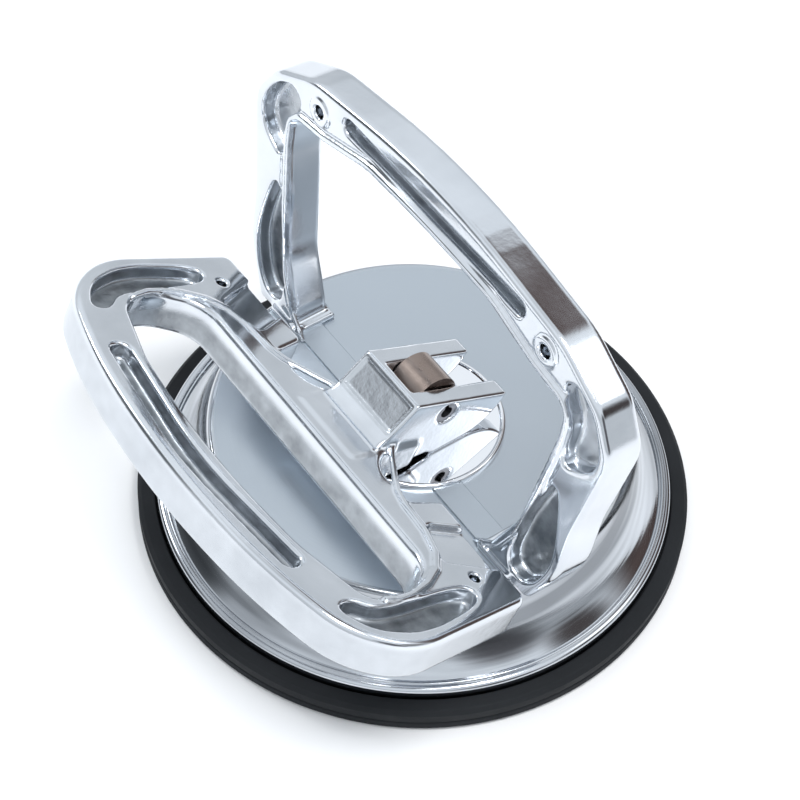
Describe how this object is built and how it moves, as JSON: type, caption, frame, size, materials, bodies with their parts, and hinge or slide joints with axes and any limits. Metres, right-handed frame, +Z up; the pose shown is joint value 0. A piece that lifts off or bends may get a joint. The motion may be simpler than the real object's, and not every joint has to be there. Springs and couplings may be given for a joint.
{
  "type": "floor tile suction lifter",
  "caption": "Single-cup suction lifter: rubber pad under a flared metal disc, an upright fixed handle and a hinged lever ring whose cam pulls the pad's centre up.",
  "frame": {"origin": "on the disc's axis, on the flat underside of the rubber pad", "axes": "+Z up out of the floor, +X along the pivot pin and the width of both handles, +Y away from the lever"},
  "size_m": [0.12, 0.125, 0.0971],
  "materials": {
    "rubber_black": "satin",
    "steel": "zinc plated",
    "polished_aluminium": "polished",
    "bronze": "turned",
    "mirror_steel": "mirror polished",
    "spring_steel": "drawn wire"
  },
  "bodies": {
    "root": {"suction_pad": "rubber_black", "body_disc": "polished_aluminium", "guide_bush": "bronze", "wear_disc": "mirror_steel", "return_spring": "spring_steel", "fixed_handle": "polished_aluminium", "screw_washers": "steel", "handle_screws": "steel"},
    "lift": {"pad_plate": "steel", "pad_stud": "steel", "lock_nut": "steel", "lift_rod": "steel"},
    "lever": {"operating_lever": "polished_aluminium", "cross_pin": "spring_steel"}
  },
  "joints": [
    {"name": "stem_lift", "type": "slide", "parent": "root", "child": "lift", "axis": [0, 0, 1], "range_m": [0, 0.0045], "deforming": ["return_spring", "suction_pad"]},
    {"name": "lever_swing", "type": "hinge", "parent": "lift", "child": "lever", "pos_m": [0, 0, 0.0379], "axis": [-1, 0, 0], "range_deg": [0, 58]}
  ],
  "couplings": [
    {"joint": "stem_lift", "follows": "lever_swing", "m_per_rad": 0.0044454}
  ]
}
